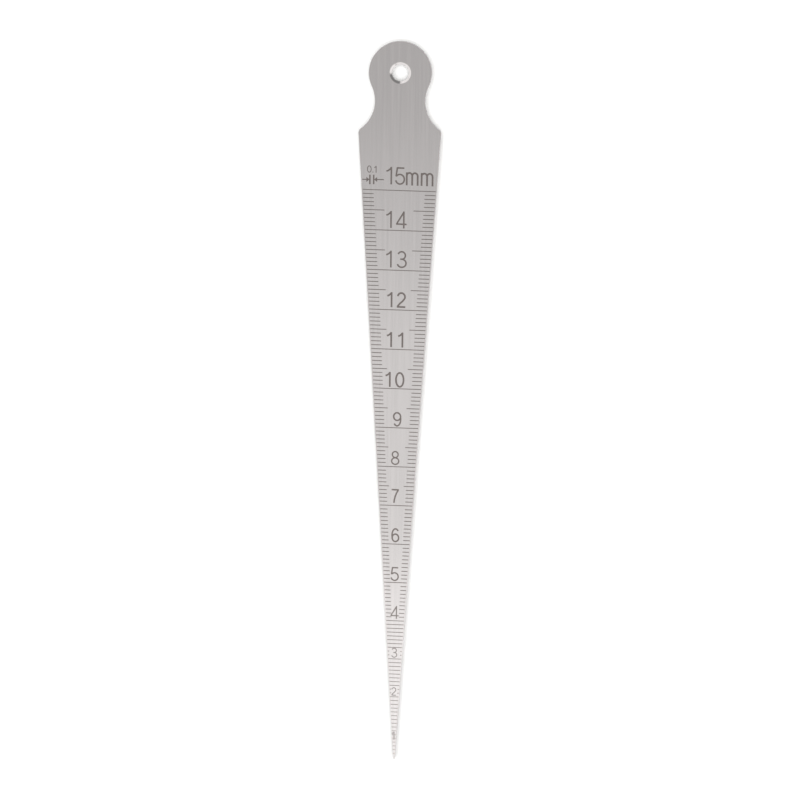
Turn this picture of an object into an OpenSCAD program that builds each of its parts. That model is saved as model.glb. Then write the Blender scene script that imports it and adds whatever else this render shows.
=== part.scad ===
// Taper gauge: a thin steel blade that is pushed into a slot or a hole until it stops.
// At every line the blade is as wide as that line reads, so the line level with the
// mouth of the slot gives its width.
// X runs across the blade, Y from the tip to the head, and Z out of the marked face.
// The blade lies on its back. The origin is in the back face, under the middle of the
// blade's length and width.

/* [Blade] */
// Widest reading, which is the width of the blade at its top line
widest_reading = 15; // [12:0.5:18]
// Length from the point where the two straight sides would meet to the top line
taper_length = 120; // [100:1:150]
// Width of the blunt tip
tip_width = 0.35; // [0.3:0.05:0.45]
// Thickness of the blade
thickness = 1.2; // [0.8:0.1:2]

/* [Head] */
// Diameter of the round head
head_diameter = 12.5; // [11:0.1:14]
// Distance from the top line to the middle of the head
head_rise = 23.3; // [21:0.1:28]
// Width of the waist between the head and the shoulders
waist_width = 10; // [8:0.1:10.8]
// Radius of the hollow flanks that lead from the head to the shoulders
flank_radius = 6.8; // [6:0.1:8]
// Radius that rounds the two shoulder corners
shoulder_radius = 1.1; // [0.6:0.1:1.4]

/* [Hanging hole] */
// Diameter of the hole through the head
hole_diameter = 3.2; // [2.5:0.1:4]
// Diameter of the broken edge round the hole, at both faces
rim_diameter = 4.3; // [4.1:0.1:5]
// Depth of that broken edge
rim_depth = 0.3; // [0.1:0.05:0.35]

/* [Scale] */
// Lowest reading that has a line
lowest_reading = 0.5; // [0.5:0.1:1]
// Step in reading from one line to the next
reading_step = 0.1; // [0.1, 0.25, 0.5]
// Step in reading from one long line to the next
long_step = 1; // [1, 2]
// Readings up to this one have lines that cross the blade
crossing_reading = 4; // [3:1:8]
// Lowest long line that keeps the room above it free for a numeral
lowest_clear_reading = 2; // [1:1:3]
// Reading above a long line, up to which that room is kept free
clear_reading = 0.25; // [0.15:0.1:0.35]
// Readings from this one have middle lines that are longer than the short ones
middle_reading = 7; // [5:1:9]
// Angle by which the marked lines lean away from square, low on the right
lean_angle = 1.04; // [0:0.01:1.5]

/* [Engraving] */
// Width of an engraved line
line_width = 0.16; // [0.1:0.01:0.25]
// Depth of an engraved line
line_depth = 0.05; // [0.02:0.01:0.1]
// Margin between a line and the edge of the blade
line_margin = 0.2; // [0.1:0.05:0.4]
// Length of a short line from the edge, before the blade's width adds to it
short_line = 0.75; // [0.5:0.05:1]
// Longest that a short line gets, from the edge
short_line_limit = 2.35; // [1.8:0.05:2.6]
// Length from the edge of the stubs beside a low numeral
stub_line = 0.45; // [0.4:0.05:0.6]

/* [Hidden] */
$fn = 96;

// How far a cut runs past the face that it starts from
overrun = 0.4;
// Shares of half the blade's width: the part of it that a short line gains, the part
// that a middle line takes, and the most that a margin takes near the tip
short_gain_share = 0.27;
middle_line_share = 0.6;
margin_share = 0.1;

// The straight sides, as directions from the point where they would meet
side_angle = atan(widest_reading / 2 / taper_length);
side_way = [sin(side_angle), cos(side_angle)];
side_inward = [-cos(side_angle), sin(side_angle)];
run_per_reading = taper_length / widest_reading;

// Places along the blade, counted from that same point
tip_y = tip_width * run_per_reading;
head_y = taper_length + head_rise;
end_y = head_y + head_diameter / 2;
middle_y = (tip_y + end_y) / 2;

// The flank circle touches the head circle from outside and clears the waist
reach = head_diameter / 2 + flank_radius;
flank_x = waist_width / 2 + flank_radius;
flank_drop = sqrt(reach * reach - flank_x * flank_x);
flank = [flank_x, head_y - flank_drop];
touch = [flank_x, -flank_drop] * head_diameter / 2 / reach + [0, head_y];

// Where a circle round the flank's centre first meets the side, or a line beside it
function first_meeting(start, radius) =
    let (gap = start - flank, along = gap * side_way)
    start + side_way * (-along - sqrt(along * along - gap * gap + radius * radius));
function unit(v) = v / norm(v);

// The sharp shoulder, and the circle that rounds it
shoulder = first_meeting([0, 0], flank_radius);
round_centre = first_meeting(side_inward * shoulder_radius, flank_radius + shoulder_radius);
round_side = round_centre - side_inward * shoulder_radius;
round_flank = round_centre + unit(flank - round_centre) * shoulder_radius;

// Lines are counted in steps, so that the tests below compare whole numbers
first_line = round(lowest_reading / reading_step);
last_line = round(widest_reading / reading_step);
long_every = round(long_step / reading_step);

function is_long(line) = line % long_every == 0;
function is_middle(line) = 2 * line % long_every == 0 && line * reading_step >= middle_reading;
function is_cleared(line) =
    line % long_every * reading_step <= clear_reading
    && line * reading_step >= lowest_clear_reading;
function is_crossing(line) =
    is_long(line) || (line * reading_step <= crossing_reading && !is_cleared(line));

// How far a line that doesn't cross reaches in from the edge of the blade
function line_reach(line, half_width) =
    line * reading_step <= crossing_reading ? stub_line
    : is_middle(line) ? half_width * middle_line_share
    : min(short_line_limit, short_line + half_width * short_gain_share);

// The blade seen from above: the taper and the neck, the round head, the two flanks
// scooped out, and the shoulder corners rounded
module outline() {
    side_share = tip_width / widest_reading;
    tip = side_way * norm([widest_reading / 2, taper_length]) * side_share;
    difference() {
        union() {
            polygon([
                tip, shoulder, touch, [0, head_y],
                [-touch.x, touch.y], [-shoulder.x, shoulder.y], [-tip.x, tip.y]
            ]);
            translate([0, head_y])
                circle(d = head_diameter);
        }
        for (side = [0, 1])
            mirror([side, 0]) {
                translate(flank)
                    circle(r = flank_radius);
                difference() {
                    polygon([round_side, 2 * shoulder - round_centre, round_flank]);
                    translate(round_centre)
                        circle(r = shoulder_radius);
                }
            }
    }
}

// The hole with its broken edges, as one turned shape
module hole_cut() {
    hole_radius = hole_diameter / 2;
    flare = (rim_diameter / 2 - hole_radius) / rim_depth;
    far_radius = rim_diameter / 2 + overrun * flare;
    rotate_extrude()
        polygon([
            [0, -overrun], [far_radius, -overrun],
            [hole_radius, rim_depth], [hole_radius, thickness - rim_depth],
            [far_radius, thickness + overrun], [0, thickness + overrun]
        ]);
}

// One engraved line at a reading, from one place across the blade to another
module line_cut(reading, from_x, to_x) {
    translate([0, reading * run_per_reading, thickness - line_depth])
        rotate(-lean_angle)
            translate([from_x, -line_width / 2, 0])
                cube([to_x - from_x, line_width, line_depth + overrun]);
}

// The whole scale: long and low lines cross the blade, the others start at both edges
module scale_cuts() {
    for (line = [first_line : last_line]) {
        reading = line * reading_step;
        edge = reading / 2;
        margin = min(line_margin, edge * margin_share);
        if (is_crossing(line)) {
            line_cut(reading, margin - edge, edge - margin);
        } else {
            line_cut(reading, margin - edge, line_reach(line, edge) - edge);
            line_cut(reading, edge - line_reach(line, edge), edge - margin);
        }
    }
}

module gauge_blade() {
    color("silver")
        translate([0, -middle_y, 0])
            difference() {
                linear_extrude(thickness)
                    outline();
                translate([0, head_y, 0])
                    hole_cut();
                scale_cuts();
            }
}

gauge_blade();
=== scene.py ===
"""The looks of a taper gauge: a thin brushed steel blade that carries the scale of its own width.

The blade is one ground sheet with rounded edges. Its scale and numerals are engraved in the
upper face and darkened. Every length is in metres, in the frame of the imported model, where X
runs across the blade, Y from the tip to the head, and Z out of the marked face.
"""

import logging
import math
from dataclasses import dataclass
from enum import Enum

import bmesh
import bpy
from mathutils import Matrix, Vector


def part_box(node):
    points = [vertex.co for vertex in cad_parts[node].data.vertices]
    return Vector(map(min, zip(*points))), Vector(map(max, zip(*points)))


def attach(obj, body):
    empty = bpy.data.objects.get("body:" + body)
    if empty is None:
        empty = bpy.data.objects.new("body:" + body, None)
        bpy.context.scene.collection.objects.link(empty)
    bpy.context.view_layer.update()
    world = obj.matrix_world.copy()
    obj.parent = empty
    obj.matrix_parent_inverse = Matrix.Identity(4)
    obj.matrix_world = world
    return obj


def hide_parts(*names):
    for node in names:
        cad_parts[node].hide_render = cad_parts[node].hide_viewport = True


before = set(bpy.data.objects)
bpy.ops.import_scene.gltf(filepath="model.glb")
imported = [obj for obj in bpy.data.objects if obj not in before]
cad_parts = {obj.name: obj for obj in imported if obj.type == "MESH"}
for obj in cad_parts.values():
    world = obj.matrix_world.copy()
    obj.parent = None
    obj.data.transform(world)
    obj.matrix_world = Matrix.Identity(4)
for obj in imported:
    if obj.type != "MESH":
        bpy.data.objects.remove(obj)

LOG = logging.getLogger("taper_gauge")
MM = 0.001
# Points nearer to each other than this are welded, and those of the marks within half of it
WELD = 0.001 * MM
NODE = "gauge_blade"
BODY = "root"

# A walk round an outline: each point, and how it moves when the edge is set in by one unit
Walk = list[tuple[Vector, Vector]]
# One stroke of a mark: its points, and half its width at each
Stroke = tuple[list[Vector], list[float]]


class Slot(Enum):
    """The record's material slots, whose names the log gives for the pieces."""

    STEEL = "brushed_blade"
    ETCHING = "dark_etching"


class Overlap(Enum):
    """How a Boolean node joins its meshes."""

    UNION = "UNION"
    DIFFERENCE = "DIFFERENCE"


class Kind(Enum):
    """What an attribute holds for each vertex."""

    NUMBER = "FLOAT"
    VECTOR = "FLOAT_VECTOR"


class SteelSide(Enum):
    """Where the steel lies beside an arc, as the sign of the arc's inward move."""

    INSIDE = -1
    OUTSIDE = 1


# The Boolean solver whose results are always closed
CLOSED_SOLVER = "MANIFOLD"


# Shared helpers for node trees, meshes and colours


def add_node(
    tree: bpy.types.NodeTree, kind: str, inputs: dict | None = None, **settings: object
) -> bpy.types.Node:
    """Adds one node, with its settings and its inputs.

    Args:
        tree: The tree that gets the node.
        kind: The node's type name.
        inputs: For each input, by name, or by place where names repeat, a value, the output
            socket to link, or a list of those.
        settings: The node's own properties.

    Returns:
        The new node.
    """
    node = tree.nodes.new(kind)
    for name, value in settings.items():
        setattr(node, name, value)
    for key, value in (inputs or {}).items():
        for source in value if isinstance(value, list) else [value]:
            if isinstance(source, bpy.types.NodeSocket):
                tree.links.new(source, node.inputs[key])
            else:
                node.inputs[key].default_value = source
    return node


def new_tree(name: str, inputs: dict[str, str]) -> tuple[bpy.types.NodeTree, bpy.types.Node]:
    """Starts a Geometry Nodes tree with named inputs and one geometry output.

    Args:
        name: The tree's name.
        inputs: Each input's name and the short name of its socket type.

    Returns:
        The tree and its group input node.
    """
    tree = bpy.data.node_groups.new(name, "GeometryNodeTree")
    for label, kind in inputs.items():
        tree.interface.new_socket(name=label, in_out="INPUT", socket_type=f"NodeSocket{kind}")
    tree.interface.new_socket(name="Geometry", in_out="OUTPUT", socket_type="NodeSocketGeometry")
    return tree, tree.nodes.new("NodeGroupInput")


def close_tree(
    tree: bpy.types.NodeTree, geometry: bpy.types.NodeSocket, material: bpy.types.NodeSocket
) -> None:
    """Ends a tree in plain geometry that wears one material.

    Args:
        tree: The tree to end.
        geometry: The geometry that it made.
        material: The material that the geometry wears.
    """
    plain = add_node(tree, "GeometryNodeRealizeInstances", {"Geometry": geometry})
    worn = add_node(tree, "GeometryNodeSetMaterial", {"Geometry": plain.outputs[0], "Material": material})
    add_node(tree, "NodeGroupOutput", {"Geometry": worn.outputs[0]})


def run_tree(
    base: bpy.types.Object, tree: bpy.types.NodeTree, values: dict[str, object]
) -> bpy.types.Object:
    """Runs a tree on an object and keeps the result as a plain mesh, with no modifier left.

    Args:
        base: The object whose mesh goes into the tree.
        tree: The tree to run.
        values: The tree's inputs by name.

    Returns:
        The same object, with the tree's result as its mesh.
    """
    modifier = base.modifiers.new(tree.name, "NODES")
    modifier.node_group = tree
    for item in tree.interface.items_tree:
        if item.in_out == "INPUT" and item.name in values:
            modifier[item.identifier] = values[item.name]
    graph = bpy.context.evaluated_depsgraph_get()
    made = bpy.data.meshes.new_from_object(base.evaluated_get(graph), depsgraph=graph)
    base.modifiers.clear()
    rough = base.data
    base.data = made
    made.name = base.name
    bpy.data.meshes.remove(rough)
    return base


def new_object(name: str, points: list[Vector], edges: list[tuple[int, int]]) -> bpy.types.Object:
    """Makes a scene object from bare points and edges.

    Args:
        name: The object's name.
        points: Where its vertices are.
        edges: Which vertices its edges join.

    Returns:
        The new object, at the origin.
    """
    mesh = bpy.data.meshes.new(name)
    mesh.from_pydata([tuple(p) for p in points], edges, [])
    piece = bpy.data.objects.new(name, mesh)
    bpy.context.scene.collection.objects.link(piece)
    return piece


def store(piece: bpy.types.Object, name: str, kind: Kind, values: list) -> None:
    """Stores one value for each vertex, for a tree to read.

    Args:
        piece: The object whose mesh gets the values.
        name: The attribute's name.
        kind: What the values are.
        values: One number or vector for each vertex.
    """
    layer = piece.data.attributes.new(name, kind.value, "POINT")
    for item, value in zip(layer.data, values):
        setattr(item, "vector" if kind is Kind.VECTOR else "value", value)


def remove(*pieces: bpy.types.Object) -> None:
    """Deletes helper objects that were only needed to make a piece."""
    for piece in pieces:
        bpy.data.objects.remove(piece)


def colour(code: str) -> tuple[float, float, float, float]:
    """Turns an sRGB hex colour into the linear colour that a shader wants.

    Args:
        code: The colour, such as #c8c4be.

    Returns:
        Linear red, green, blue and an alpha of one.
    """
    # The sRGB curve has a straight foot and then a power
    foot_end, foot_slope, offset, power = 0.04045, 12.92, 0.055, 2.4
    shares = [int(code[i:i + 2], 16) / 255 for i in (1, 3, 5)]
    linear = [s / foot_slope if s <= foot_end else ((s + offset) / (1 + offset)) ** power for s in shares]
    return (*linear, 1.0)


# Finishes


def new_material(name: str) -> tuple[bpy.types.Material, bpy.types.NodeTree]:
    """Makes an empty node material.

    Args:
        name: The material's name.

    Returns:
        The material and its cleared node tree.
    """
    material = bpy.data.materials.new(name)
    material.use_nodes = True
    material.node_tree.nodes.clear()
    return material, material.node_tree


@dataclass(frozen=True)
class BrushedStainless:
    """Stainless sheet, brushed along the blade by a belt, then wiped clean.

    The belt leaves long fine scratches, which stretch each highlight across the blade and give
    the satin grey its faint lengthwise streaks.
    """

    pale: str = "#c0bcbb"
    dull: str = "#b0adac"
    roughness: float = 0.13
    roughness_swing: float = 0.03
    # A streak is a band of scratches that catch the light together
    streak_width: float = 0.45 * MM
    streak_length: float = 22 * MM
    # A belt's scratch is about 0.02 mm wide, too fine to show, so it is drawn wider here
    scratch_width: float = 0.09 * MM
    scratch_length: float = 9 * MM
    scratch_depth: float = 0.005 * MM
    noise_detail: float = 3.0
    noise_roughness: float = 0.6

    def material(self) -> bpy.types.Material:
        """Builds the material from two stretched noises, one for tone and one for gloss and relief.

        Returns:
            The brushed steel.
        """
        material, tree = new_material("brushed_stainless")
        place = add_node(tree, "ShaderNodeTexCoord").outputs["Object"]
        streaks = self._stretched(tree, place, self.streak_width, self.streak_length)
        scratches = self._stretched(tree, place, self.scratch_width, self.scratch_length)
        tone = add_node(
            tree,
            "ShaderNodeMix",
            {0: streaks, 6: colour(self.dull), 7: colour(self.pale)},
            data_type="RGBA",
        )
        gloss = add_node(
            tree,
            "ShaderNodeMapRange",
            {
                "Value": scratches,
                "To Min": self.roughness - self.roughness_swing,
                "To Max": self.roughness + self.roughness_swing,
            },
        )
        relief = add_node(
            tree, "ShaderNodeBump", {"Height": scratches, "Distance": self.scratch_depth, "Strength": 1.0}
        )
        shader = add_node(
            tree,
            "ShaderNodeBsdfPrincipled",
            {
                "Base Color": tone.outputs[2],
                "Metallic": 1.0,
                "Roughness": gloss.outputs[0],
                "Normal": relief.outputs[0],
            },
        )
        add_node(tree, "ShaderNodeOutputMaterial", {"Surface": shader.outputs[0]})
        return material

    def _stretched(
        self, tree: bpy.types.NodeTree, place: bpy.types.NodeSocket, width: float, length: float
    ) -> bpy.types.NodeSocket:
        """Adds a noise that is fine across the blade and long along it.

        Args:
            tree: The material's tree.
            place: The coordinates that it reads.
            width: How wide one streak is.
            length: How long one streak is.

        Returns:
            The noise's strength, from 0 to 1.
        """
        drawn = add_node(
            tree, "ShaderNodeMapping", {"Vector": place, "Scale": (1 / width, 1 / length, 1 / width)}
        )
        noise = add_node(
            tree,
            "ShaderNodeTexNoise",
            {
                "Vector": drawn.outputs[0],
                "Scale": 1.0,
                "Detail": self.noise_detail,
                "Roughness": self.noise_roughness,
            },
        )
        return noise.outputs[0]


@dataclass(frozen=True)
class OxideEtching:
    """Marks burnt into the steel by electrolytic etching.

    The current roughens the steel and leaves a thin brown-grey oxide, so a mark is dark and
    satin and a little uneven. Towards the tip the marks are painted paler: a painted highlight
    that follows the brighter reflection of the steel round them there.
    """

    dark: str = "#655f5c"
    worn: str = "#756e6b"
    # The pale tone of the painted highlight that the marks reach at the tip
    faint: str = "#989492"
    # The places along the blade where the painted highlight on the marks starts, and where it is strongest
    highlight_start_level: float = -36 * MM
    highlight_full_level: float = -68 * MM
    roughness: float = 0.27
    patch: float = 0.6 * MM

    def material(self) -> bpy.types.Material:
        """Builds the darkened steel, mottled over about half a millimetre, with a painted highlight that
        pales it towards the tip.

        Returns:
            The etched steel.
        """
        material, tree = new_material("etched_oxide")
        place = add_node(tree, "ShaderNodeTexCoord").outputs["Object"]
        patches = add_node(tree, "ShaderNodeTexNoise", {"Vector": place, "Scale": 1 / self.patch})
        mottled = add_node(
            tree,
            "ShaderNodeMix",
            {0: patches.outputs[0], 6: colour(self.dark), 7: colour(self.worn)},
            data_type="RGBA",
        )
        along = add_node(tree, "ShaderNodeSeparateXYZ", {0: place}).outputs["Y"]
        # Painted highlight: the marks are painted paler towards the tip, following the steel's brighter
        # reflection there
        painted_highlight = add_node(
            tree,
            "ShaderNodeMapRange",
            {"Value": along, "From Min": self.highlight_start_level, "From Max": self.highlight_full_level},
        )
        tone = add_node(
            tree,
            "ShaderNodeMix",
            {0: painted_highlight.outputs[0], 6: mottled.outputs[2], 7: colour(self.faint)},
            data_type="RGBA",
        )
        shader = add_node(
            tree,
            "ShaderNodeBsdfPrincipled",
            {"Base Color": tone.outputs[2], "Metallic": 1.0, "Roughness": self.roughness},
        )
        add_node(tree, "ShaderNodeOutputMaterial", {"Surface": shader.outputs[0]})
        return material


@dataclass(frozen=True)
class StudioPaper:
    """The plain white coated paper that the gauge lies on, pressed smooth but matt."""

    pale: str = "#fefefd"
    roughness: float = 0.9

    def material(self) -> bpy.types.Material:
        """Builds the matt paper.

        Returns:
            The paper.
        """
        material, tree = new_material("studio_paper")
        shader = add_node(
            tree, "ShaderNodeBsdfPrincipled", {"Base Color": colour(self.pale), "Roughness": self.roughness}
        )
        add_node(tree, "ShaderNodeOutputMaterial", {"Surface": shader.outputs[0]})
        return material


# The blade


@dataclass
class Blade:
    """The ground sheet: a straight taper, hollow flanks, a waist and a round head with a hole."""

    thickness: float
    half_width: float
    end_y: float
    widest_reading: float = 15 * MM
    taper_length: float = 120 * MM
    tip_width: float = 0.35 * MM
    head_diameter: float = 12.5 * MM
    head_rise: float = 23.3 * MM
    waist_width: float = 10 * MM
    flank_radius: float = 6.8 * MM
    shoulder_radius: float = 1.1 * MM
    hole_radius: float = 1.65 * MM
    rim_radius: float = 2.12 * MM
    rim_depth: float = 0.25 * MM
    edge_rounding: float = 0.04 * MM
    rounding_steps: int = 6
    arc_step: float = math.radians(2.5)
    fewest_arc_steps: int = 4

    def __post_init__(self) -> None:
        """Works out the taper's apex, the way of its right side and the outline's arc centres."""
        self.head = Vector((0, self.end_y - self.head_diameter / 2))
        self.apex = self.head - Vector((0, self.head_rise + self.taper_length))
        lean = math.atan(self.widest_reading / 2 / self.taper_length)
        self.side_way = Vector((math.sin(lean), math.cos(lean)))
        self.side_inward = Vector((-math.cos(lean), math.sin(lean)))
        flank_x = self.waist_width / 2 + self.flank_radius
        reach = self.head_diameter / 2 + self.flank_radius
        self.flank = self.head + Vector((flank_x, -math.sqrt(reach**2 - flank_x**2)))
        start = self.apex + self.side_inward * self.shoulder_radius
        away = start - self.flank
        along = away.dot(self.side_way)
        span = self.flank_radius + self.shoulder_radius
        run = -along - math.sqrt(along**2 - away.dot(away) + span**2)
        self.shoulder = start + self.side_way * run

    @property
    def run_per_reading(self) -> float:
        """Length along the blade for each unit of width."""
        return self.taper_length / self.widest_reading

    def level(self, reading: float) -> float:
        """The place along Y where the blade is as wide as the reading."""
        return self.apex.y + reading * self.run_per_reading

    def outline(self) -> Walk:
        """Walks round the blade, from the tip's right corner and back to its left one.

        Returns:
            Each point of the outline, and how it moves when the edge is set in by one unit.
        """
        tip = Vector((self.tip_width / 2, self.level(self.tip_width)))
        mitre = Vector(((1 - self.side_inward.y) / self.side_inward.x, 1))
        turn_in = math.atan2(*(self.flank - self.shoulder).yx)
        turn_up = math.atan2(*(self.head - self.flank).yx)
        side_turn = -math.atan2(*self.side_way)
        inside, outside, turn = SteelSide.INSIDE, SteelSide.OUTSIDE, 2 * math.pi
        right = [(tip, mitre)]
        right += self._arc(self.shoulder, self.shoulder_radius, side_turn, turn_in, inside)
        right += self._arc(self.flank, self.flank_radius, turn_in - math.pi, turn_up - turn, outside)[1:]
        right += self._arc(self.head, self.head_diameter / 2, turn_up - math.pi, math.pi / 2, inside)[1:]
        right = [(Vector((min(p.x, self.half_width), p.y)), d) for p, d in right]
        left = [(Vector((-p.x, p.y)), Vector((-d.x, d.y))) for p, d in reversed(right[:-1])]
        return right + left

    def _arc(self, centre: Vector, radius: float, start: float, end: float, side: SteelSide) -> Walk:
        """Points on an arc, at an even pitch.

        Args:
            centre: The arc's centre.
            radius: Its radius.
            start: The angle that it starts from.
            end: The angle that it ends at.
            side: Where the steel lies beside it.

        Returns:
            The points and their inward moves.
        """
        steps = max(self.fewest_arc_steps, math.ceil(abs(end - start) / self.arc_step))
        angles = [start + (end - start) * i / steps for i in range(steps + 1)]
        ways = [Vector((math.cos(a), math.sin(a))) for a in angles]
        return [(centre + way * radius, way * side.value) for way in ways]

    def build(
        self, lines: bpy.types.Object, numerals: bpy.types.Object, steel: bpy.types.Material
    ) -> bpy.types.Object:
        """Makes the sheet, rounds its edges and sinks the marks into its upper face.

        Args:
            lines: The shapes of the scale's lines, as deep as they are cut.
            numerals: The shapes of the numerals, likewise.
            steel: What the blade is made of.

        Returns:
            The blade as one closed mesh.
        """
        blade = self._loop("blade", self.outline())
        circle = self._arc(self.head, self.hole_radius, 2 * math.pi, 0, SteelSide.OUTSIDE)[:-1]
        hole = self._loop("hole_loop", circle)
        edge = self._profile("edge_profile", self._rounded_edge())
        flare = self.rim_radius - self.hole_radius
        low, high = self.rim_depth, self.thickness - self.rim_depth
        rim = self._profile("rim_profile", [(flare, self.thickness), (0, high), (0, low), (flare, 0)])
        values = {
            "Hole": hole, "Edge Profile": edge, "Rim Profile": rim, "Lines": lines,
            "Numerals": numerals, "Thickness": self.thickness, "Steel": steel,
        }
        run_tree(blade, ground_sheet_tree(), values)
        remove(hole, edge, rim)
        return blade

    def _rounded_edge(self) -> list[tuple[float, float]]:
        """Works out the section of the sheet's edge.

        Returns:
            Insets and heights, from the upper face down.
        """
        radius = self.edge_rounding
        turns = [math.pi / 2 * i / self.rounding_steps for i in range(self.rounding_steps + 1)]
        low = [(radius * (1 - math.sin(turn)), radius * (1 - math.cos(turn))) for turn in turns]
        return [(inset, self.thickness - height) for inset, height in low] + low[::-1]

    def _loop(self, name: str, walk: Walk) -> bpy.types.Object:
        """Makes a closed loop of edges whose points know their inward move.

        Args:
            name: The object's name.
            walk: The points and their inward moves.

        Returns:
            The loop.
        """
        edges = [(i, (i + 1) % len(walk)) for i in range(len(walk))]
        loop = new_object(name, [p.to_3d() for p, _ in walk], edges)
        store(loop, "inward", Kind.VECTOR, [d.to_3d() for _, d in walk])
        return loop

    def _profile(self, name: str, section: list[tuple[float, float]]) -> bpy.types.Object:
        """Makes the chain of points that a tree reads as a section: inset in X, height in Y."""
        edges = [(i, i + 1) for i in range(len(section) - 1)]
        return new_object(name, [Vector((inset, height, 0)) for inset, height in section], edges)


def swept_edge_group() -> bpy.types.NodeTree:
    """Builds the group that sweeps a section round a loop, as one grid of faces.

    Each row of the grid is a point of the section, and each column a point of the loop.

    Returns:
        The group, with a Loop and a Profile as inputs.
    """
    tree, source = new_tree("swept_edge", {"Loop": "Geometry", "Profile": "Geometry"})
    loop, profile = source.outputs["Loop"], source.outputs["Profile"]
    around = add_node(tree, "GeometryNodeAttributeDomainSize", {0: loop}).outputs["Point Count"]
    rows = add_node(tree, "GeometryNodeAttributeDomainSize", {0: profile}).outputs["Point Count"]
    columns = add_node(tree, "ShaderNodeMath", {0: around, 1: 1.0}, operation="ADD").outputs[0]
    grid = add_node(tree, "GeometryNodeMeshGrid", {"Vertices X": rows, "Vertices Y": columns})
    index = add_node(tree, "GeometryNodeInputIndex").outputs[0]
    share = add_node(tree, "ShaderNodeMath", {0: index, 1: columns}, operation="DIVIDE")
    row = add_node(tree, "ShaderNodeMath", {0: share.outputs[0]}, operation="FLOOR").outputs[0]
    column = add_node(tree, "ShaderNodeMath", {0: index, 1: columns}, operation="MODULO").outputs[0]
    column = add_node(tree, "ShaderNodeMath", {0: column, 1: around}, operation="MODULO").outputs[0]
    position = add_node(tree, "GeometryNodeInputPosition").outputs[0]
    inward = add_node(
        tree, "GeometryNodeInputNamedAttribute", {"Name": "inward"}, data_type=Kind.VECTOR.value
    ).outputs[0]
    foot, way, section = [
        add_node(
            tree,
            "GeometryNodeSampleIndex",
            {"Geometry": shape, "Value": field, "Index": at},
            data_type=Kind.VECTOR.value,
        ).outputs[0]
        for shape, field, at in ((loop, position, column), (loop, inward, column), (profile, position, row))
    ]
    parts = add_node(tree, "ShaderNodeSeparateXYZ", {0: section})
    lift = add_node(tree, "ShaderNodeCombineXYZ", {"Z": parts.outputs["Y"]}).outputs[0]
    inset = add_node(
        tree, "ShaderNodeVectorMath", {0: way, "Scale": parts.outputs["X"]}, operation="SCALE"
    ).outputs[0]
    place = add_node(tree, "ShaderNodeVectorMath", {0: foot, 1: inset}, operation="ADD").outputs[0]
    place = add_node(tree, "ShaderNodeVectorMath", {0: place, 1: lift}, operation="ADD").outputs[0]
    swept = add_node(tree, "GeometryNodeSetPosition", {"Geometry": grid.outputs[0], "Position": place})
    closed = add_node(tree, "GeometryNodeMergeByDistance", {"Geometry": swept.outputs[0], "Distance": WELD})
    add_node(tree, "NodeGroupOutput", {"Geometry": closed.outputs[0]})
    return tree


def ground_sheet_tree() -> bpy.types.NodeTree:
    """Builds the tree that makes the sheet from its outline, its hole and its two sections.

    Returns:
        The tree, which also cuts the marks.
    """
    inputs = {
        "Geometry": "Geometry", "Hole": "Object", "Edge Profile": "Object", "Rim Profile": "Object",
        "Lines": "Object", "Numerals": "Object", "Thickness": "Float", "Steel": "Material",
    }
    tree, source = new_tree("ground_sheet", inputs)
    shapes = {
        name: add_node(tree, "GeometryNodeObjectInfo", {"Object": source.outputs[name]}).outputs["Geometry"]
        for name, kind in inputs.items()
        if kind == "Object"
    }
    group = swept_edge_group()
    bands = [
        add_node(tree, "GeometryNodeGroup", {"Loop": loop, "Profile": profile}, node_tree=group).outputs[0]
        for loop, profile in (
            (source.outputs["Geometry"], shapes["Edge Profile"]),
            (shapes["Hole"], shapes["Rim Profile"]),
        )
    ]
    walls = add_node(tree, "GeometryNodeJoinGeometry", {0: bands}).outputs[0]
    open_edge = add_node(
        tree,
        "FunctionNodeCompare",
        {2: add_node(tree, "GeometryNodeInputMeshEdgeNeighbors").outputs[0], 3: 1},
        data_type="INT",
        operation="EQUAL",
    ).outputs[0]
    height = add_node(
        tree, "ShaderNodeSeparateXYZ", {0: add_node(tree, "GeometryNodeInputPosition").outputs[0]}
    ).outputs["Z"]
    middle = add_node(
        tree, "ShaderNodeMath", {0: source.outputs["Thickness"], 1: 0.5}, operation="MULTIPLY"
    ).outputs[0]
    lift = add_node(tree, "ShaderNodeCombineXYZ", {"Z": source.outputs["Thickness"]}).outputs[0]
    faces = []
    for side, shift in (("GREATER_THAN", lift), ("LESS_THAN", None)):
        there = add_node(tree, "FunctionNodeCompare", {0: height, 1: middle}, operation=side)
        picked = add_node(
            tree, "FunctionNodeBooleanMath", {0: open_edge, 1: there.outputs[0]}, operation="AND"
        ).outputs[0]
        rim = add_node(tree, "GeometryNodeMeshToCurve", {"Mesh": walls, "Selection": picked}).outputs[0]
        face = add_node(tree, "GeometryNodeFillCurve", {"Curve": rim}).outputs[0]
        if shift:
            face = add_node(tree, "GeometryNodeSetPosition", {"Geometry": face, "Offset": shift}).outputs[0]
        else:
            face = add_node(tree, "GeometryNodeFlipFaces", {"Mesh": face}).outputs[0]
        faces.append(face)
    sheet = add_node(tree, "GeometryNodeJoinGeometry", {0: [walls, *faces]}).outputs[0]
    sheet = add_node(tree, "GeometryNodeMergeByDistance", {"Geometry": sheet, "Distance": WELD}).outputs[0]
    cut = add_node(
        tree,
        "GeometryNodeMeshBoolean",
        {"Mesh 1": sheet, "Mesh 2": [shapes["Lines"], shapes["Numerals"]]},
        operation=Overlap.DIFFERENCE.value,
        solver=CLOSED_SOLVER,
    ).outputs[0]
    close_tree(tree, cut, source.outputs["Steel"])
    return tree


# The scale


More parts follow.
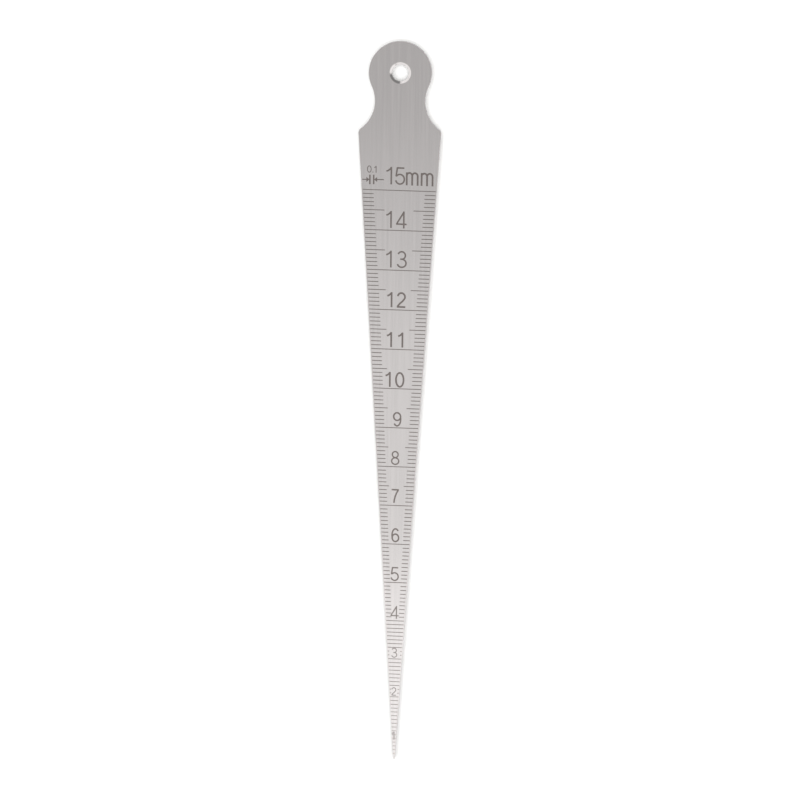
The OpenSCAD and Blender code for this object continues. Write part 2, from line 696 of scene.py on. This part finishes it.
@dataclass
class Scale:
    """The lines across the blade: each stands where the blade is as wide as the line reads."""

    blade: Blade
    lowest_reading: float = 0.5 * MM
    reading_step: float = 0.1 * MM
    long_step: float = 1 * MM
    # Up to the first of these readings the lines cross the blade. But from the second on, those
    # within the third over a long line are stubs, which leave room for its numeral
    crossing_reading: float = 4 * MM
    lowest_clear_reading: float = 2 * MM
    clear_reading: float = 0.25 * MM
    # From this reading on, the line half way between two long ones is longer than those beside it
    middle_reading: float = 7 * MM
    lean: float = math.radians(1.04)
    line_width: float = 0.16 * MM
    line_depth: float = 0.05 * MM
    line_margin: float = 0.2 * MM
    short_line: float = 0.75 * MM
    short_line_limit: float = 2.35 * MM
    stub_line: float = 0.45 * MM
    short_gain_share: float = 0.27
    middle_line_share: float = 0.6
    margin_share: float = 0.1
    # How far the etching lies under the face, as a share of the lines' depth
    sink_share: float = 0.4

    def spans(self) -> list[tuple[float, float, float]]:
        """Lists every engraved line.

        Returns:
            For each line its reading, and where it starts and ends across the blade.
        """
        first = round(self.lowest_reading / self.reading_step)
        last = round(self.blade.widest_reading / self.reading_step)
        spans = []
        for line in range(first, last + 1):
            edge = line * self.reading_step / 2
            outer = edge - min(self.line_margin, edge * self.margin_share)
            inner = edge - self._reach(line, edge)
            if self._crosses(line):
                spans.append((2 * edge, -outer, outer))
            else:
                spans += [(2 * edge, -outer, -inner), (2 * edge, inner, outer)]
        return spans

    def _crosses(self, line: int) -> bool:
        """Tells whether a line runs from edge to edge.

        Args:
            line: The line, counted in steps.

        Returns:
            True where it does.
        """
        over_long = line % round(self.long_step / self.reading_step)
        reading = line * self.reading_step
        near_numeral = over_long * self.reading_step <= self.clear_reading
        cleared = near_numeral and reading >= self.lowest_clear_reading
        low = round(self.crossing_reading / self.reading_step)
        return over_long == 0 or (line <= low and not cleared)

    def _reach(self, line: int, edge: float) -> float:
        """How far a line that doesn't cross reaches in from the edge.

        Args:
            line: The line, counted in steps.
            edge: Half the blade's width there.

        Returns:
            The length, margin included.
        """
        steps = round(self.long_step / self.reading_step)
        if line <= round(self.crossing_reading / self.reading_step):
            return self.stub_line
        if 2 * line % steps == 0 and line >= round(self.middle_reading / self.reading_step):
            return edge * self.middle_line_share
        return min(self.short_line_limit, self.short_line + edge * self.short_gain_share)

    def build(self, name: str, floor: float, top: float, material: bpy.types.Material) -> bpy.types.Object:
        """Makes all lines as one mesh of thin bars.

        Args:
            name: The piece's name.
            floor: The height of the bars' lower faces.
            top: The height of their upper faces.
            material: What the bars are made of.

        Returns:
            The bars.
        """
        spans = self.spans()
        slope = -math.tan(self.lean)
        middles = [(start + end) / 2 for _, start, end in spans]
        points = [
            Vector((x, self.blade.level(reading) + slope * x, (floor + top) / 2))
            for (reading, _, _), x in zip(spans, middles)
        ]
        bars = new_object(name, points, [])
        store(bars, "length", Kind.NUMBER, [end - start for _, start, end in spans])
        values = {
            "Line Width": self.line_width, "Line Height": top - floor, "Lean": -self.lean,
            "Material": material,
        }
        return run_tree(bars, engraved_lines_tree(), values)


def engraved_lines_tree() -> bpy.types.NodeTree:
    """Builds the tree that sets one bar on each point, as long as the point says.

    Returns:
        The tree.
    """
    inputs = {
        "Geometry": "Geometry", "Line Width": "Float", "Line Height": "Float", "Lean": "Float",
        "Material": "Material",
    }
    tree, source = new_tree("engraved_lines", inputs)
    length = add_node(
        tree, "GeometryNodeInputNamedAttribute", {"Name": "length"}, data_type=Kind.NUMBER.value
    )
    size = add_node(
        tree,
        "ShaderNodeCombineXYZ",
        {"X": length.outputs[0], "Y": source.outputs["Line Width"], "Z": source.outputs["Line Height"]},
    ).outputs[0]
    turn = add_node(tree, "ShaderNodeCombineXYZ", {"Z": source.outputs["Lean"]}).outputs[0]
    turn = add_node(tree, "FunctionNodeEulerToRotation", {0: turn}).outputs[0]
    bar = add_node(tree, "GeometryNodeMeshCube").outputs[0]
    points = add_node(tree, "GeometryNodeMeshToPoints", {"Mesh": source.outputs["Geometry"]}).outputs[0]
    bars = add_node(
        tree,
        "GeometryNodeInstanceOnPoints",
        {"Points": points, "Instance": bar, "Rotation": turn, "Scale": size},
    ).outputs[0]
    close_tree(tree, bars, source.outputs["Material"])
    return tree


# The numerals


# Degrees from one point of a bent stroke to the next, and the fewest steps of one
BEND_STEP = 10
FEWEST_BEND_STEPS = 3


def bend(
    x: float, y: float, across: float, up: float, start: float, end: float
) -> list[tuple[float, float]]:
    """Part of an ellipse, as points.

    Args:
        x: Its middle, across.
        y: Its middle, up.
        across: Its half width.
        up: Its half height.
        start: The angle that it starts from, in degrees.
        end: The angle that it ends at.

    Returns:
        The points, at an even pitch.
    """
    steps = max(FEWEST_BEND_STEPS, round(abs(end - start) / BEND_STEP))
    turns = [math.radians(start + (end - start) * i / steps) for i in range(steps + 1)]
    return [(x + across * math.cos(t), y + up * math.sin(t)) for t in turns]


# Each glyph's strokes, as shares of the numeral's height: the middle of the stroke's width,
# from the cell's left side and from the line that the numeral stands on
GLYPH_SHARES = {
    "0": [bend(0.345, 0.5, 0.25, 0.465, 0, 360)],
    "1": [[(0.42, 0), (0.42, 1)], [(0.43, 0.97), (0.34, 0.86), (0.25, 0.79), (0.14, 0.745)]],
    "2": [
        bend(0.345, 0.715, 0.235, 0.25, 172, -35)
        + [(0.42, 0.42), (0.24, 0.26), (0.12, 0.11), (0.09, 0.03)],
        [(0.05, 0.0425), (0.61, 0.0425)],
    ],
    "3": [
        bend(0.335, 0.74, 0.215, 0.22, 162, -90) + [(0.25, 0.52)],
        [(0.27, 0.52)] + bend(0.335, 0.28, 0.255, 0.24, 90, -165),
    ],
    "4": [[(0.47, 0), (0.47, 1)], [(0.02, 0.245), (0.64, 0.245)], [(0.47, 0.95), (0.055, 0.26)]],
    "5": [
        [(0.15, 0.955), (0.58, 0.955)],
        [(0.185, 0.98), (0.115, 0.47)],
        bend(0.335, 0.315, 0.25, 0.275, 148, -165),
    ],
    "6": [bend(0.355, 0.31, 0.24, 0.27, 0, 360), bend(0.36, 0.5, 0.255, 0.465, 42, 205)],
    "7": [
        [(0.06, 0.955), (0.62, 0.955)],
        [(0.585, 0.96), (0.45, 0.74), (0.34, 0.48), (0.27, 0.22), (0.245, 0)],
    ],
    "8": [bend(0.345, 0.745, 0.205, 0.215, 0, 360), bend(0.345, 0.275, 0.25, 0.235, 0, 360)],
    "9": [bend(0.335, 0.69, 0.24, 0.27, 0, 360), bend(0.33, 0.5, 0.255, 0.465, -138, 25)],
    ".": [[(0.1, 0), (0.1, 0.16)]],
    "m": [
        [(0.06, 0), (0.06, 0.76)],
        bend(0.22, 0.55, 0.16, 0.18, 180, 0) + [(0.38, 0)],
        bend(0.54, 0.55, 0.16, 0.18, 180, 0) + [(0.7, 0)],
    ],
}


@dataclass(frozen=True)
class Numeral:
    """One engraved word: what it says, its height, where it starts, and how it is spaced."""

    text: str
    height: float
    left: float
    rise: float
    width_share: float = 1.0
    pitch_share: float = 0.7
    stroke: float = 0.32 * MM

    def strokes(self, base: float, lean: float) -> list[Stroke]:
        """Lays out the strokes on the blade.

        Args:
            base: The place along Y of the line that the numeral belongs to.
            lean: How far its own line leans, low on the right.

        Returns:
            Each stroke's points, and half its width at each.
        """
        made = []
        width = self.width_share * self.height
        for place, letter in enumerate(self.text):
            cell = self.left + place * self.pitch_share * self.height
            for shares in GLYPH_SHARES[letter]:
                points = [Vector((cell + x * width, y * self.height, 0)) for x, y in shares]
                for point in points:
                    point.y += base + self.rise - math.tan(lean) * point.x
                made.append((points, [self.stroke / 2] * len(points)))
        return made


@dataclass
class Lettering:
    """The numerals over the long lines, and the small sign that shows what one step reads."""

    blade: Blade
    lean: float = math.radians(1.6)
    sign_level: float = 2.13 * MM
    sign_bar_height: float = 1.9 * MM
    sign_bar_width: float = 0.3 * MM
    sign_bars: tuple[float, float] = (-5.86 * MM, -5.1 * MM)
    sign_ends: tuple[float, float] = (-7.4 * MM, -3.08 * MM)
    sign_shaft_width: float = 0.2 * MM
    sign_head_length: float = 0.6 * MM
    sign_head_width: float = 1.0 * MM
    sign_point_width: float = 0.04 * MM
    # How far from the middle of its bar an arrow's point is, so that it runs into the bar
    sign_stop: float = 0.1 * MM
    step_height: float = 1.35 * MM
    step_rise: float = 3.35 * MM
    step_stroke: float = 0.16 * MM
    # The step's reading: each glyph, where it starts across the blade, and its width share
    step_glyphs: tuple[tuple[str, float, float], ...] = (
        ("0", -6.5 * MM, 1.1), (".", -5.4 * MM, 1.0), ("1", -5.2 * MM, 1.0)
    )
    # How far the etching lies under the face, as a share of the marks' depth: less than in the
    # lines, so that a numeral that crosses a line covers it
    sink_share: float = 0.35

    def numerals(self) -> list[tuple[int, Numeral]]:
        """Says how each numeral is set.

        Returns:
            The reading that each stands over, and the numeral.
        """
        fine, bold = 0.2 * MM, 0.36 * MM
        return [
            (15, Numeral("15", 3.5 * MM, -3.07 * MM, 1.15 * MM, pitch_share=0.58)),
            (15, Numeral("mm", 3.4 * MM, 1.28 * MM, 1.1 * MM, pitch_share=0.87, stroke=bold)),
            (14, Numeral("14", 3.4 * MM, -3.0 * MM, 0.45 * MM)),
            (13, Numeral("13", 3.4 * MM, -2.95 * MM, 0.5 * MM, pitch_share=0.72)),
            (12, Numeral("12", 3.05 * MM, -2.6 * MM, 0.5 * MM, pitch_share=0.72, stroke=bold)),
            (11, Numeral("11", 3.05 * MM, -2.6 * MM, 0.42 * MM, pitch_share=0.74, stroke=bold)),
            (10, Numeral("10", 3.05 * MM, -2.8 * MM, 0.3 * MM, pitch_share=0.73, stroke=bold)),
            (9, Numeral("9", 2.9 * MM, -0.95 * MM, 0.3 * MM)),
            (8, Numeral("8", 2.85 * MM, -1.27 * MM, 0.37 * MM, stroke=0.28 * MM)),
            (7, Numeral("7", 2.85 * MM, -1.1 * MM, 0.53 * MM, width_share=0.92)),
            (6, Numeral("6", 2.85 * MM, -1.07 * MM, 0.42 * MM, width_share=0.96)),
            (5, Numeral("5", 2.9 * MM, -1.15 * MM, 0.32 * MM, stroke=0.28 * MM)),
            (4, Numeral("4", 2.7 * MM, -1.0 * MM, 0.41 * MM, stroke=0.25 * MM)),
            (3, Numeral("3", 2.05 * MM, -0.8 * MM, 0.27 * MM, stroke=fine)),
            (2, Numeral("2", 1.7 * MM, -0.7 * MM, 0.27 * MM, stroke=fine)),
            (1, Numeral("1", 1.7 * MM, -0.71 * MM, -1.1 * MM, stroke=0.32 * MM)),
        ]

    def _sign(self) -> list[Stroke]:
        """Draws the sign: two arrows that press on two bars, and the step's reading above.

        Returns:
            The sign's strokes.
        """
        base = self.blade.level(self.blade.widest_reading)
        level = base + self.sign_level
        foot, top = level - self.sign_bar_height / 2, level + self.sign_bar_height / 2
        bar_half, shaft_half = self.sign_bar_width / 2, self.sign_shaft_width / 2
        head_half, point_half = self.sign_head_width / 2, self.sign_point_width / 2
        strokes = []
        for bar, end, way in zip(self.sign_bars, self.sign_ends, (1, -1)):
            point = bar - way * self.sign_stop
            neck = point - way * self.sign_head_length
            strokes += [
                ([Vector((bar, foot, 0)), Vector((bar, top, 0))], [bar_half, bar_half]),
                ([Vector((end, level, 0)), Vector((point, level, 0))], [shaft_half, shaft_half]),
                ([Vector((neck, level, 0)), Vector((point, level, 0))], [head_half, point_half]),
            ]
        for text, left, share in self.step_glyphs:
            part = Numeral(text, self.step_height, left, self.step_rise, share, stroke=self.step_stroke)
            strokes += part.strokes(base, self.lean)
        return strokes

    def build(self, name: str, floor: float, top: float, material: bpy.types.Material) -> bpy.types.Object:
        """Makes all numerals and the sign as one mesh of flat strokes.

        Args:
            name: The piece's name.
            floor: The height of the strokes' lower faces.
            top: The height of their upper faces.
            material: What the strokes are made of.

        Returns:
            The strokes, joined where they cross.
        """
        strokes = self._sign()
        for reading, numeral in self.numerals():
            strokes += numeral.strokes(self.blade.level(reading * MM), self.lean)
        points, widths, edges = [], [], []
        for path, halves in strokes:
            closed = (path[0] - path[-1]).length < WELD
            kept = path[:-1] if closed else path
            first = len(points)
            points += kept
            widths += halves[: len(kept)]
            edges += [(i, i + 1) for i in range(first, len(points) - 1)]
            if closed:
                edges.append((len(points) - 1, first))
        marks = new_object(name, points, edges)
        store(marks, "half_width", Kind.NUMBER, widths)
        values = {"Floor": floor, "Height": top - floor, "Material": material}
        return run_tree(marks, engraved_strokes_tree(), values)


def engraved_strokes_tree() -> bpy.types.NodeTree:
    """Builds the tree that gives lines their width and depth, and joins those that cross.

    Returns:
        The tree.
    """
    inputs = {"Geometry": "Geometry", "Floor": "Float", "Height": "Float", "Material": "Material"}
    tree, source = new_tree("engraved_strokes", inputs)
    path = add_node(tree, "GeometryNodeMeshToCurve", {"Mesh": source.outputs["Geometry"]}).outputs[0]
    path = add_node(tree, "GeometryNodeSetCurveNormal", {"Curve": path}, mode="Z_UP").outputs[0]
    half = add_node(
        tree, "GeometryNodeInputNamedAttribute", {"Name": "half_width"}, data_type=Kind.NUMBER.value
    ).outputs[0]
    section = add_node(
        tree, "GeometryNodeCurvePrimitiveLine", {"Start": (-1.0, 0.0, 0.0), "End": (1.0, 0.0, 0.0)}
    ).outputs[0]
    ribbon = add_node(
        tree, "GeometryNodeCurveToMesh", {"Curve": path, "Profile Curve": section, "Scale": half}
    ).outputs[0]
    lift = add_node(tree, "ShaderNodeCombineXYZ", {"Z": source.outputs["Floor"]}).outputs[0]
    ribbon = add_node(tree, "GeometryNodeSetPosition", {"Geometry": ribbon, "Offset": lift}).outputs[0]
    way = add_node(tree, "ShaderNodeCombineXYZ", {"Z": 1.0}).outputs[0]
    raised = add_node(
        tree,
        "GeometryNodeExtrudeMesh",
        {"Mesh": ribbon, "Offset": way, "Offset Scale": source.outputs["Height"], "Individual": False},
    ).outputs[0]
    under = add_node(tree, "GeometryNodeFlipFaces", {"Mesh": ribbon}).outputs[0]
    solid = add_node(tree, "GeometryNodeJoinGeometry", {0: [raised, under]}).outputs[0]
    solid = add_node(
        tree, "GeometryNodeMergeByDistance", {"Geometry": solid, "Distance": WELD / 2}
    ).outputs[0]
    # The Boolean node joins strokes that cross only where each is an instance of its own
    island = add_node(tree, "GeometryNodeInputMeshIsland").outputs["Island Index"]
    strokes = add_node(tree, "GeometryNodeSplitToInstances", {"Geometry": solid, "Group ID": island})
    joined = add_node(
        tree,
        "GeometryNodeMeshBoolean",
        {"Mesh 2": strokes.outputs[0]},
        operation=Overlap.UNION.value,
        solver=CLOSED_SOLVER,
    ).outputs[0]
    close_tree(tree, joined, source.outputs["Material"])
    return tree


# The studio


@dataclass(frozen=True)
class Softbox:
    """One flat soft lamp that faces a point on the floor, which is the origin if none is given."""

    name: str
    place: tuple[float, float, float]
    width: float
    length: float
    brightness: float
    aim: tuple[float, float, float] = (0.0, 0.0, 0.0)

    def hang(self) -> None:
        """Hangs the lamp, with its width level and its front towards its aim."""
        lamp = bpy.data.lights.new(self.name, "AREA")
        lamp.shape = "RECTANGLE"
        lamp.size = self.width
        lamp.size_y = self.length
        lamp.energy = self.brightness * math.pi * self.width * self.length
        holder = bpy.data.objects.new(self.name, lamp)
        holder.location = self.place
        holder.rotation_euler = (Vector(self.aim) - Vector(self.place)).to_track_quat("-Z", "Y").to_euler()
        bpy.context.scene.collection.objects.link(holder)


@dataclass
class Studio:
    """The pale floor, the soft lights and the camera of the photograph.

    Four panels under the ceiling box, each of which starts nearer the tip than the one above
    it, make the blade's reflection grow paler from the head to the tip. The high boxes whiten
    the floor, and the low ones light the hole's rim, all but the side that faces the dark corner
    between right and rear. No two low boxes overlap as the blade sees them, because lamps that
    do add up.
    """

    softboxes: tuple[Softbox, ...] = (
        Softbox("ceiling_box", (0.0, -0.15, 1.3), 1.1, 1.2, 0.42, aim=(0.0, -0.15, 0.0)),
        Softbox("near_box", (0.0, -0.4, 1.25), 0.9, 0.68, 0.15, aim=(0.0, -0.4, 0.0)),
        Softbox("middle_box", (0.0, -0.42, 1.2), 0.9, 0.62, 0.17, aim=(0.0, -0.42, 0.0)),
        Softbox("far_box", (0.0, -0.42, 1.15), 0.9, 0.54, 0.13, aim=(0.0, -0.42, 0.0)),
        Softbox("tip_box", (0.0, -0.56, 1.1), 0.9, 0.54, 0.52, aim=(0.0, -0.56, 0.0)),
        Softbox("left_box", (-1.3, -0.3, 0.87), 2.0, 0.55, 1.25),
        Softbox("rear_box", (-0.8, 1.2, 0.95), 1.6, 0.55, 1.25),
        Softbox("right_box", (1.3, -0.7, 0.95), 2.0, 0.55, 1.4),
        Softbox("front_box", (-0.24, -1.63, 0.95), 1.9, 0.6, 1.25),
        Softbox("high_left_box", (-0.57, 0.0, 1.05), 1.1, 0.56, 1.5),
        Softbox("high_rear_box", (0.0, 0.57, 1.05), 1.1, 0.56, 1.2),
        Softbox("high_right_box", (0.57, 0.0, 1.05), 1.1, 0.56, 1.5),
    )
    floor_size: float = 3.0
    floor_gap: float = 0.01 * MM
    camera_place: Vector = Vector((30.0, 106.84, 606.18)) * MM
    camera_aim: Vector = Vector((0.57, 1.53, 1.2)) * MM
    camera_roll: float = math.radians(0.56)
    focal_pixels: float = 3053.8
    frame_pixels: float = 800
    sensor_width: float = 36.0
    nearest_seen: float = 0.01
    room_colour: str = "#ffffff"
    room_brightness: float = 0.4

    def build(self) -> None:
        """Lays the floor, hangs the lights and sets the camera."""
        self._floor()
        self._world()
        for softbox in self.softboxes:
            softbox.hang()
        self._camera()
        bpy.context.scene.view_settings.view_transform = "Standard"

    def _floor(self) -> None:
        """Lays a flat pale floor a hair under the gauge, so that the two don't coincide."""
        half, level = self.floor_size / 2, -self.floor_gap
        corners = [(-half, -half, level), (half, -half, level), (half, half, level), (-half, half, level)]
        floor = new_object("floor", [], [])
        floor.data.from_pydata(corners, [], [(0, 1, 2, 3)])
        floor.data.materials.append(StudioPaper().material())

    def _world(self) -> None:
        """Fills the room with even pale light."""
        world = bpy.data.worlds.new("studio")
        world.use_nodes = True
        backdrop = world.node_tree.nodes["Background"]
        backdrop.inputs["Color"].default_value = colour(self.room_colour)
        backdrop.inputs["Strength"].default_value = self.room_brightness
        bpy.context.scene.world = world

    def _camera(self) -> None:
        """Sets the camera where the photograph was taken from."""
        camera = bpy.data.cameras.new("camera")
        camera.sensor_width = self.sensor_width
        camera.lens = self.sensor_width * self.focal_pixels / self.frame_pixels
        camera.clip_start = self.nearest_seen
        holder = bpy.data.objects.new("camera", camera)
        back = (self.camera_place - self.camera_aim).normalized()
        right = Vector((0, 1, 0)).cross(back).normalized()
        facing = Matrix((right, back.cross(right), back)).transposed()
        roll = Matrix.Rotation(self.camera_roll, 4, "Z")
        holder.matrix_world = Matrix.Translation(self.camera_place) @ facing.to_4x4() @ roll
        bpy.context.scene.collection.objects.link(holder)
        bpy.context.scene.camera = holder


# Putting it together


def crisp(piece: bpy.types.Object, flat_share: float = 0.9999, crease: float = math.radians(35)) -> None:
    """Shades the rounded edges smoothly and keeps the flat faces flat.

    Args:
        piece: The mesh to shade.
        flat_share: How level a face has to be to count as flat.
        crease: The angle from which an edge stays sharp.
    """
    work = bmesh.new()
    work.from_mesh(piece.data)
    for face in work.faces:
        face.smooth = True
    for edge in work.edges:
        if len(edge.link_faces) == 2:
            level = [abs(face.normal.z) > flat_share for face in edge.link_faces]
            edge.smooth = level[0] == level[1] and edge.calc_face_angle(math.pi) < crease
    work.to_mesh(piece.data)
    work.free()


def fit(piece: bpy.types.Object, slot: Slot) -> None:
    """Lets a finished piece ride on the gauge and logs the record's slot for its finish.

    Args:
        piece: The finished piece.
        slot: The record's slot for its finish.
    """
    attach(piece, BODY)
    LOG.info("%s: %d faces, wears %s", piece.name, len(piece.data.polygons), slot.value)


def main() -> None:
    """Builds the gauge and its studio, and reports each piece."""
    logging.basicConfig(level=logging.INFO, format="%(name)s: %(message)s")
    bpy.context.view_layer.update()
    low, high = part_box(NODE)
    steel = BrushedStainless().material()
    etching = OxideEtching().material()
    blade = Blade(thickness=high[2] - low[2], half_width=high[0], end_y=high[1])
    scale = Scale(blade)
    lettering = Lettering(blade)
    floor = blade.thickness - scale.line_depth
    over = blade.thickness + scale.line_depth
    line_top = blade.thickness - scale.sink_share * scale.line_depth
    numeral_top = blade.thickness - lettering.sink_share * scale.line_depth
    line_cutters = scale.build("line_cutters", floor, over, etching)
    numeral_cutters = lettering.build("numeral_cutters", floor, over, etching)
    body = blade.build(line_cutters, numeral_cutters, steel)
    remove(line_cutters, numeral_cutters)
    crisp(body)
    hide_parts(NODE)
    fit(body, Slot.STEEL)
    for marks in (
        scale.build("scale_lines", floor, line_top, etching),
        lettering.build("numerals", floor, numeral_top, etching),
    ):
        crisp(marks)
        fit(marks, Slot.ETCHING)
    Studio().build()


if __name__ == "__main__":
    main()
